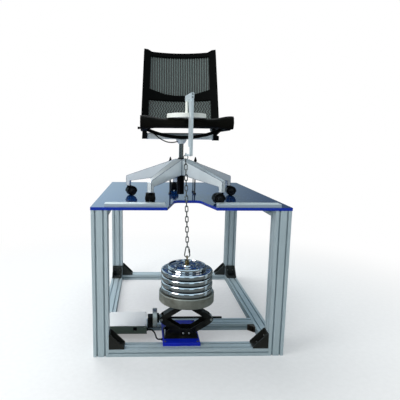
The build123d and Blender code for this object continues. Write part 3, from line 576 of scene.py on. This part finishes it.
CEILING = 0.85
REAR_WALL = (0.66, 0.08)
WINDOWS = 0.8
WINDOW_SCALE = 0.42
ROOM_TINT = (0.68, 0.90, 1.04, 1.0)
SKY_TINT = (0.86, 0.97, 1.0, 1.0)
AMBIENT = 0.46
LIGHTS = [
    ("above", (-0.7, 1.3, 3.7), (0.0, 0.0, 0.6), (3.2, 2.4), 105.0),
    ("left", (-3.2, -2.4, 2.4), (0.0, -0.2, 0.8), (2.0, 2.4), 92.0),
    ("right", (3.2, -2.2, 1.8), (0.0, 0.0, 0.8), (1.6, 2.2), 5.0),
]
FLOOR_REACH = 14.0
FLOOR_FADE = (0.8, 2.6)
FLOOR_MIRRORED = 0.9


def soft_light(name, place, target, size, power):
    data = bpy.data.lights.new(name, "AREA")
    data.shape = "RECTANGLE"
    data.size = size[0]
    data.size_y = size[1]
    data.energy = power
    light = bpy.data.objects.new(name, data)
    light.location = place
    light.rotation_euler = (Vector(target) - Vector(place)).to_track_quat("-Z", "Y").to_euler()
    bpy.context.scene.collection.objects.link(light)


def room(g):
    """What polished surfaces reflect: a bright ceiling, a bright left rear and tall windows."""
    coords = g.add("ShaderNodeTexCoord")
    split = g.add("ShaderNodeSeparateXYZ")
    g.link(coords.outputs["Generated"], split.inputs["Vector"])
    x, y, z = (split.outputs[axis] for axis in "XYZ")
    ceiling = g.span(z, 0.0, CEILING, 0.3, 0.62, True)
    behind = g.span(y, 0.0, 1.0, 0.0, 0.7, True)
    rear = g.calc("MULTIPLY", behind, g.span(x, *REAR_WALL, -0.16, 0.34))
    stripes = g.add("ShaderNodeTexWave", Scale=WINDOW_SCALE, Distortion=2.5)
    stripes.bands_direction = "X"
    g.link(coords.outputs["Generated"], stripes.inputs["Vector"])
    glass = g.span(stripes.outputs["Fac"], 0.04, WINDOWS, 0.55, 0.75, True)
    ahead = g.calc("MULTIPLY", glass, g.span(y, 1.0, 0.0, -0.35, 0.25, True))
    level = g.calc("MULTIPLY", ahead, g.span(z, 0.2, 1.0, -0.15, 0.15, True))
    return g.calc("MAXIMUM", g.calc("MAXIMUM", ceiling, rear), level)


def studio():
    scene = bpy.context.scene
    scene.view_settings.view_transform = "Standard"
    world = bpy.data.worlds.new("studio")
    scene.world = world
    world.use_nodes = True
    g = Graph(world.node_tree)
    lit = g.tree.nodes["Background"]
    lit.inputs["Color"].default_value = SKY_TINT
    lit.inputs["Strength"].default_value = AMBIENT
    seen = g.add("ShaderNodeBackground", Color=(1.0, 1.0, 1.0, 1.0))
    shine = g.add("ShaderNodeBackground", Color=ROOM_TINT)
    g.link(room(g), shine.inputs["Strength"])
    rays = g.add("ShaderNodeLightPath")
    through = g.calc("MAXIMUM", rays.outputs["Is Camera Ray"], rays.outputs["Is Transmission Ray"])
    shown = g.mix(rays.outputs["Is Glossy Ray"], lit.outputs["Background"], shine.outputs["Background"])
    shown = g.mix(through, shown, seen.outputs["Background"])
    g.link(shown, g.tree.nodes["World Output"].inputs["Surface"])
    for light in LIGHTS:
        soft_light(*light)


def floor():
    """A pale floor that fades to white round the object and keeps its shadow."""
    m = Nodes("floor")
    m.set(spec=0.1)
    place = m.place()
    grain = m.noise(place, 40.0, 3.0)
    m.tint(grain, (0.80, 0.81, 0.82), (0.84, 0.85, 0.86))
    m.shader.inputs["Roughness"].default_value = 0.8
    white = m.add("ShaderNodeEmission", Strength=1.0, Color=(1.0, 1.0, 1.0, 1.0))
    dark = m.add("ShaderNodeEmission", Strength=1.0, Color=(0.045, 0.06, 0.058, 1.0))
    length = m.add("ShaderNodeVectorMath", operation="LENGTH")
    m.link(place, length.inputs[0])
    fade = m.span(length.outputs["Value"], 0.3, 1.0, *FLOOR_FADE, True)
    rays = m.add("ShaderNodeLightPath")
    pale = m.mix(
        m.calc("MULTIPLY", fade, rays.outputs["Is Camera Ray"]),
        m.shader.outputs["BSDF"],
        white.outputs["Emission"],
    )
    mirrored = m.calc("MULTIPLY", rays.outputs["Is Glossy Ray"], FLOOR_MIRRORED)
    shown = m.mix(mirrored, pale, dark.outputs["Emission"])
    m.link(shown, m.tree.nodes["Material Output"].inputs["Surface"])
    mesh = bpy.data.meshes.new("floor")
    corners = [(x * FLOOR_REACH, y * FLOOR_REACH, 0.0) for x, y in ((-1, -1), (1, -1), (1, 1), (-1, 1))]
    mesh.from_pydata(corners, [], [(0, 1, 2, 3)])
    mesh.materials.append(m.material)
    piece = bpy.data.objects.new("floor", mesh)
    bpy.context.scene.collection.objects.link(piece)


# Materials on the carried-over solids


def dress():
    cast = polished_cast()
    black = painted("black_plastic", (0.003, 0.003, 0.003), 0.4, 0.0, 700.0, 0.12, 0.0, 0.1)
    rubber = painted("black_rubber", (0.003, 0.003, 0.004), 0.6, 0.0, 1200.0, 0.2, 0.0, 0.12)
    steel = black_steel()
    zinc = turned_steel("zinc_steel", (0.34, 0.36, 0.35), (0.52, 0.54, 0.53), (0.3, 0.45))
    links = turned_steel("chain_steel", (0.10, 0.11, 0.10), (0.34, 0.36, 0.34), (0.2, 0.35))
    threaded = threaded_rod()
    plated = chrome("chrome", (0.86, 0.88, 0.90))
    along_x = profile_metal("X")
    along_y = profile_metal("Y")
    along_z = profile_metal("Z")
    blue = painted("blue_tray", (0.002, 0.014, 0.42), 0.4, 0.0, 500.0, 0.05, 0.0, 0.3)
    looks = {
        "table_top": blue_gloss(),
        "stop_strips": brushed("strip_metal", (0.62, 0.70, 0.72), "X", 0.3, (0.35, 0.5)),
        "posts_front": along_z,
        "posts_rear": along_z,
        "bottom_rail_front": along_x,
        "bottom_rail_rear": along_x,
        "bottom_rail_left": along_y,
        "bottom_rail_right": along_y,
        "cross_rail": along_x,
        "top_rails": along_y,
        "corner_brackets_front": painted("bracket_black", (0.030, 0.030, 0.026), 0.4, 0.0, 400.0, 0.2, 0.3),
        "corner_brackets_rear": painted("bracket_grey", (0.045, 0.05, 0.046), 0.4, 0.0, 400.0, 0.2, 0.3),
        "cross_brackets": turned_steel("bracket_steel", (0.05, 0.035, 0.025), (0.16, 0.13, 0.10)),
        "jack_base_plate": blue,
        "jack_foot": steel,
        "jack_lower_arm_left": steel,
        "jack_lower_arm_right": steel,
        "jack_upper_arm_left": steel,
        "jack_upper_arm_right": steel,
        "jack_saddle": steel,
        "jack_screw": steel,
        "jack_trunnion_left": zinc,
        "jack_trunnion_right": zinc,
        "drive_disc": turned_steel("disc_steel", (0.36, 0.37, 0.34), (0.52, 0.53, 0.50), (0.3, 0.45)),
        "drive_motor": black,
        "control_box": box_enamel_and_shade(),
        "control_fittings": black,
        "control_lead": rubber,
        "star_base": cast,
        "column_tube": painted("column_black", (0.002, 0.002, 0.003), 0.3, 0.0, 700.0, 0.05, 0.0, 0.06),
        "clamp_rods": threaded,
        "clamp_bar": zinc,
        "clamp_knob_left": black,
        "clamp_knob_right": black,
        # Painted shade: the gas tube's chrome is coloured darker than the discs' chrome.
        "gas_tube": chrome("shaded_chrome", (0.34, 0.35, 0.34)),
        "seat_housing": cast,
        "seat_frame": black,
        "seat_beam": cast,
        "seat_cable": rubber,
        "back_frame": painted("back_black", (0.002, 0.002, 0.0015), 0.42, 0.0, 500.0, 0.15, 0.0, 0.05),
        "load_disc": painted("disc_white", (0.86, 0.87, 0.82), 0.4, 0.0, 300.0, 0.05),
        "load_plate": brushed("plate_metal", (0.70, 0.77, 0.80), "Z", 0.4, (0.3, 0.42)),
        "load_chain": links,
        "snap_hook": links,
        "hanger": turned_steel("brass", (0.10, 0.075, 0.03), (0.26, 0.20, 0.09), (0.3, 0.5)),
        "weight_base": turned_steel("base_steel", (0.31, 0.30, 0.25), (0.56, 0.56, 0.49), (0.35, 0.5)),
        "weight_discs": plated,
        "weight_top": plated,
    }
    for name in NODES:
        if name.startswith("caster_"):
            looks[name] = black
    for name, material in looks.items():
        for held in NODES[name].material_slots:
            held.material = material


# Seat

CHAIR_X = -0.022
SEAT_HALF = 0.238
SEAT_FRONT = -0.540
SEAT_REAR = -0.095
SEAT_TOP = 1.2265
SEAT_LOW = 1.1883
PAD_FRONT = -0.480
SWELL = 0.004
PIPING = 0.0022
VOXEL = 0.006
PRESSURE = 4.0
STATIONS = 56
ARC_POINTS = 27


def smooth_step(value):
    t = max(0.0, min(1.0, value))
    return t * t * (3 - 2 * t)


def seat_section(u, inset=0.0):
    """Points round the cushion at one station across it, u from -1 to 1."""
    flare = smooth_step((abs(u) - 0.46) / 0.54)
    ry = 0.0245 + 0.002 * flare - inset
    rz = 0.0242 + 0.0125 * flare - inset
    middle = 1.202 + 0.0025 * flare
    centre = SEAT_FRONT + 0.027
    wide = smooth_step((abs(u) - 0.9) / 0.1)
    points = []
    for i in range(ARC_POINTS):
        a = math.radians(62 + 258 * i / (ARC_POINTS - 1))
        points.append((centre + ry * math.cos(a), middle + rz * math.sin(a)))
    back = [-0.46, -0.38, -0.30, -0.22, -0.14, SEAT_REAR + 0.006]
    under = [(y, SEAT_LOW + 0.0008 + inset) for y in back]
    top = []
    for y in reversed(back):
        dish = 0.008 * math.sin(math.pi * max(0.0, min(1.0, (y + 0.5) / 0.40)))
        edge = 0.004 * wide
        top.append((y, SEAT_TOP - 0.002 - inset - dish * (1 - 0.6 * abs(u)) - edge))
    rim = [(SEAT_REAR - inset, (SEAT_LOW + SEAT_TOP) / 2)]
    return points + under + rim + top


def seat_half_width(y):
    """The cushion narrows towards the back."""
    if y < -0.38:
        return SEAT_HALF
    if y < -0.22:
        return SEAT_HALF - 0.012 * (y + 0.38) / 0.16
    return SEAT_HALF - 0.012 - 0.022 * (y + 0.22) / 0.125


def in_seat(point):
    """Keep the pad between the rails below and the disc above."""
    if point.y > PAD_FRONT:
        point.z = max(SEAT_LOW + 0.0005, min(SEAT_TOP - 0.0005, point.z))
    return point


def seat_cushion():
    inset = SWELL
    vertices = []
    for s in range(STATIONS + 1):
        u = -1 + 2 * s / STATIONS
        section = seat_section(u, inset)
        for y, z in section:
            x = CHAIR_X + u * (seat_half_width(y) - inset / 4)
            crease = noise.noise(Vector((x * 26, y * 40, z * 18)))
            lift = 0.0012 * crease * (1.0 if y < -0.47 else 0.4)
            vertices.append((x, y, z - abs(lift)))
    count = len(section)
    faces = []
    for s in range(STATIONS):
        for i in range(count):
            j = (i + 1) % count
            a = s * count
            faces.append((a + i, a + j, a + count + j, a + count + i))
    faces.append(tuple(reversed(range(count))))
    faces.append(tuple(range(STATIONS * count, (STATIONS + 1) * count)))
    fabric = woven_black()
    cushion = mesh_piece("seat_cover", vertices, faces, fabric, "seat")
    swollen(cushion, VOXEL, PRESSURE, SWELL, in_seat)
    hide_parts("seat_cushion")
    seat_piping(cushion, fabric)


def seat_piping(cushion, fabric):
    """A corded seam round each end of the roll and along the pad's edge."""
    mesh = cushion.data
    surface = BVHTree.FromPolygons(
        [vertex.co for vertex in mesh.vertices], [tuple(face.vertices) for face in mesh.polygons]
    )
    parts = []
    for side in (-1, 1):
        arc = [(CHAIR_X + side * SEAT_HALF, y, z) for y, z in seat_section(1.0)[:ARC_POINTS]]
        laid = [surface.find_nearest(Vector(p))[0] for p in arc]
        start = laid[0] + Vector((-side * 0.008, 0.0, -0.008))
        end = laid[-1] + Vector((-side * 0.008, 0.0, 0.008))
        parts.append(tube([start] + laid + [end], PIPING))
    middle = (SEAT_LOW + SEAT_TOP) / 2
    rear = [-0.495, -0.46, -0.42, -0.38, -0.33, -0.28, -0.22, -0.18, -0.14, SEAT_REAR + 0.004]
    left = [(CHAIR_X - seat_half_width(y), y, middle) for y in rear]
    across = [(CHAIR_X + x * 0.01, SEAT_REAR, middle) for x in range(-18, 19, 3)]
    right = [(2 * CHAIR_X - x, y, z) for x, y, z in reversed(left)]
    laid = [surface.find_nearest(Vector(p))[0] for p in left + across + right]
    parts.append(tube(laid, PIPING))
    piece = mesh_piece("seat_piping", *joined(parts), fabric, "seat")
    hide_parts("seat_cushion")


# Backrest mesh

BACK_ORIGIN = Vector((CHAIR_X, -0.075, 1.200))
LEAN = math.radians(12.4)
BACK_UP = Vector((0.0, math.sin(LEAN), math.cos(LEAN)))
BACK_REAR = Vector((0.0, math.cos(LEAN), -math.sin(LEAN)))
BACK_SAG = 0.042
BACK_LOW_HALF = 0.240
BACK_TOP_HALF = 0.222
BACK_TOP = 0.471
RAIL = 0.042
MESH_TUCK = 0.004
LIP = 0.0028
LIP_STEP = 0.012


def half_at(s):
    return BACK_LOW_HALF + (BACK_TOP_HALF - BACK_LOW_HALF) * s / BACK_TOP


def back_point(x, s):
    """A point on the curved middle surface of the backrest."""
    radius = (BACK_LOW_HALF ** 2 + BACK_SAG ** 2) / (2 * BACK_SAG)
    depth = BACK_SAG - radius + math.sqrt(radius * radius - x * x)
    return BACK_ORIGIN + Vector((x, 0.0, 0.0)) + BACK_UP * s + BACK_REAR * depth


def along_line(points, x):
    """Height at x on a line of (x, s) points, mirrored about the middle."""
    x = -abs(x)
    for (x0, s0), (x1, s1) in zip(points, points[1:]):
        if x0 <= x <= x1:
            return s0 + (s1 - s0) * (x - x0) / (x1 - x0)
    return points[0][1] if x < points[0][0] else points[-1][1]


def back_sheet(name, top, bottom, top_half, bottom_half, material):
    columns = 48
    rows = 24
    tuck = MESH_TUCK
    vertices = []
    for r in range(rows + 1):
        t = r / rows
        for c in range(columns + 1):
            u = -1 + 2 * c / columns
            x_low = u * (bottom_half + tuck)
            x_high = u * (top_half + tuck)
            low = along_line(bottom, x_low) - tuck
            x = x_low + (x_high - x_low) * t
            s = low + (top + tuck - low) * t
            vertices.append(back_point(x, s))
    faces = []
    for r in range(rows):
        for c in range(columns):
            a = r * (columns + 1) + c
            faces.append((a, a + 1, a + columns + 2, a + columns + 1))
    piece = mesh_piece(name, vertices, faces, material, "backrest")
    return piece


def backrest_mesh():
    upper = [(-half_at(0.250) + RAIL, 0.238), (-0.090, 0.210), (-0.030, 0.203), (0.0, 0.203)]
    lower = [(-half_at(0.060) + RAIL, 0.048), (-0.090, 0.044), (0.0, 0.044)]
    up = back_sheet(
        "mesh_upper", 0.446, upper, half_at(0.440) - RAIL, half_at(0.250) - RAIL,
        open_mesh("mesh_upper", 21.5, 0.95),
    )
    low = back_sheet(
        "mesh_lower", 0.172, lower, half_at(0.150) - RAIL, half_at(0.060) - RAIL,
        open_mesh("mesh_lower", 19.0, 0.95, 0.013),
    )
    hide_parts("back_mesh")
    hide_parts("back_mesh")


def window_edging():
    """The rounded lip that holds the mesh, round both windows of the back."""
    top = (half_at(0.440) - RAIL, 0.446)
    outlines = [
        [top, (half_at(0.250) - RAIL, 0.238), (0.090, 0.210), (0.030, 0.203)],
        [(half_at(0.150) - RAIL, 0.172), (half_at(0.060) - RAIL, 0.048), (0.090, 0.044)],
    ]
    parts = []
    for half in outlines:
        corners = half + [(-x, s) for x, s in reversed(half)]
        points = []
        for (x0, s0), (x1, s1) in zip(corners, corners[1:] + corners[:1]):
            steps = max(1, round(math.hypot(x1 - x0, s1 - s0) / LIP_STEP))
            for i in range(steps):
                t = i / steps
                points.append(back_point(x0 + (x1 - x0) * t, s0 + (s1 - s0) * t))
        parts.append(tube(points, LIP, closed=True))
    lip = painted("lip_black", (0.006, 0.007, 0.006), 0.35, 0.0, 500.0, 0.1, 0.0, 0.15)
    piece = mesh_piece("window_edging", *joined(parts), lip, "backrest")


# Fasteners and thread

FLAT = 0.04
POST_X = 0.458
POST_Y = 0.598
INNER_X = 0.418
INNER_Y = 0.558
BRACKET_WALL = 0.006
BRACKET_HOLE = 0.046
JACK_Y = -0.490
SCREW_Z = 0.149
SCREW_R = 0.0060
THREAD_X = (-0.118, 0.190)
PITCH = 0.004
CREST = 0.0008
THREAD_STEPS = 16
HUB = Vector((-0.028, -0.262, 0.8172))
ARM_R = 0.318
CASTERS = {
    "rear": (92, 100),
    "left": (164, 20),
    "front_left": (236, 90),
    "front_right": (308, 190),
    "right": (20, 0),
}
TRAIL = 0.018
WHEEL_FACE = 0.024
LOADER_TURN = math.radians(5.3)
LOADER_AXIS = Vector((-0.023, -0.490, 0.0))
PLATE_FRONT = 0.146
FOOT_FACE = -0.5224
PIN_FACE = -0.5248


def bracket_screws():
    """Cap screws on both legs of each corner bracket."""
    wall = BRACKET_WALL + 0.0005
    base = FLAT + wall
    side = FLAT + BRACKET_HOLE
    steel = turned_steel("screw_steel", (0.12, 0.12, 0.12), (0.28, 0.28, 0.28))
    parts = []
    for sx in (-1, 1):
        for sy in (-1, 1):
            for across in (-0.02, 0.02):
                x = sx * POST_X + across
                y = sy * POST_Y + across
                near_x = sx * (INNER_X - BRACKET_HOLE)
                near_y = sy * (INNER_Y - BRACKET_HOLE)
                parts.append(socket_screw((near_x, y, base), (0, 0, 1)))
                parts.append(socket_screw((sx * (INNER_X - wall), y, side), (-sx, 0, 0)))
                parts.append(socket_screw((x, near_y, base), (0, 0, 1)))
                parts.append(socket_screw((x, sy * (INNER_Y - wall), side), (0, -sy, 0)))
    vertices, faces = joined(parts)
    piece = mesh_piece("bracket_screws", vertices, faces, steel, "frame", smooth=False)


def screw_thread():
    """A raised helix along the jack's screw."""
    steel = black_steel()
    steel.name = "thread_steel"
    start, end = THREAD_X
    turns = (end - start) / PITCH
    steps = int(turns * THREAD_STEPS)
    root = SCREW_R - 0.0003
    ridge = ((-PITCH * 0.4, root), (0.0, SCREW_R + CREST), (PITCH * 0.4, root))
    vertices = []
    for i in range(steps + 1):
        a = 2 * math.pi * i / THREAD_STEPS
        x = start + PITCH * i / THREAD_STEPS
        for dx, r in ridge:
            vertices.append((x + dx, JACK_Y + r * math.cos(a), SCREW_Z + r * math.sin(a)))
    faces = []
    for i in range(steps):
        a = i * 3
        faces.append((a, a + 1, a + 4, a + 3))
        faces.append((a + 1, a + 2, a + 5, a + 4))
    piece = mesh_piece("screw_thread", vertices, faces, steel, "screw")


def flat_turn(degrees):
    a = math.radians(degrees)
    return Vector((math.cos(a), math.sin(a), 0.0))


def caster_caps():
    """A trim ring and a domed cap on the outer face of every wheel."""
    black = painted("cap_black", (0.005, 0.005, 0.006), 0.3, 0.0, 700.0, 0.05, 0.0, 0.25)
    ring = [
        (-0.0004, 0.0195), (0.0006, 0.0195), (0.0010, 0.0188), (0.0006, 0.0180), (0.0004, 0.0120),
        (0.0012, 0.0112), (0.0024, 0.0100), (0.0034, 0.0070), (0.0038, 0.0030),
    ]
    for name, (azimuth, turn) in CASTERS.items():
        axle = HUB + flat_turn(azimuth) * ARM_R + flat_turn(turn) * TRAIL
        out = flat_turn(turn + 90)
        parts = [lathe(axle + out * side * WHEEL_FACE, out * side, ring, 28) for side in (-1, 1)]
        piece = mesh_piece(f"caster_caps_{name}", *joined(parts), black, f"wheels_{name}")


def ribbon(start, end, half, proud):
    """An upright strip with bevelled edges on a face that looks forward."""
    left = [(-half, 0.0), (-half, proud * 0.4), (-half * 0.6, proud)]
    section = left + [(-x, out) for x, out in reversed(left)]
    vertices = []
    for point in (start, end):
        for x, out in section:
            vertices.append(Vector(point) + Vector((x, -out, 0.0)))
    count = len(section)
    faces = [(i, (i + 1) % count, count + (i + 1) % count, count + i) for i in range(count)]
    faces.append(tuple(reversed(range(count))))
    faces.append(tuple(range(count, 2 * count)))
    return vertices, faces


def small_fasteners():
    """Screws of the loader plate, the box's lid and the base plate, and the foot's bare steel."""
    steel = turned_steel("fastener_steel", (0.10, 0.10, 0.10), (0.24, 0.24, 0.24))
    pale = turned_steel("pin_zinc", (0.50, 0.51, 0.49), (0.72, 0.73, 0.70))
    front = Vector((math.sin(LOADER_TURN), -math.cos(LOADER_TURN), 0.0))
    face = LOADER_AXIS + front * PLATE_FRONT
    plate = [socket_screw(face + Vector((0, 0, z)), front, 0.0036, 0.0012) for z in (1.316, 1.330)]
    lid = [
        socket_screw((x, y, 0.088), (0, 0, 1), 0.003, 0.0012)
        for x in (-0.442, -0.229) for y in (-0.454, -0.280)
    ]
    base = [
        socket_screw((x, y, 0.057), (0, 0, 1), 0.005, 0.004)
        for x in (-0.122, 0.050) for y in (-0.588, -0.336)
    ]
    end = [(0.0, 0.0052), (0.0010, 0.0050), (0.0018, 0.0036)]
    pins = [lathe((x, PIN_FACE, 0.072), (0, -1, 0), end, 18) for x in (-0.021, 0.011)]
    strip = ribbon((-0.122, FOOT_FACE, 0.059), (-0.1215, FOOT_FACE, 0.0955), 0.0024, 0.0010)
    for name, parts, body, material in (
        ("plate_screws", plate, "seat", steel),
        ("lid_screws", lid, "frame", steel),
        ("base_plate_screws", base, "frame", steel),
        ("foot_pin_ends", pins, "frame", pale),
        ("foot_bare_edge", [strip], "frame", pale),
    ):
        piece = mesh_piece(name, *joined(parts), material, body, smooth=False)


add_camera()
studio()
floor()
dress()
seat_cushion()
backrest_mesh()
window_edging()
bracket_screws()
screw_thread()
caster_caps()
small_fasteners()
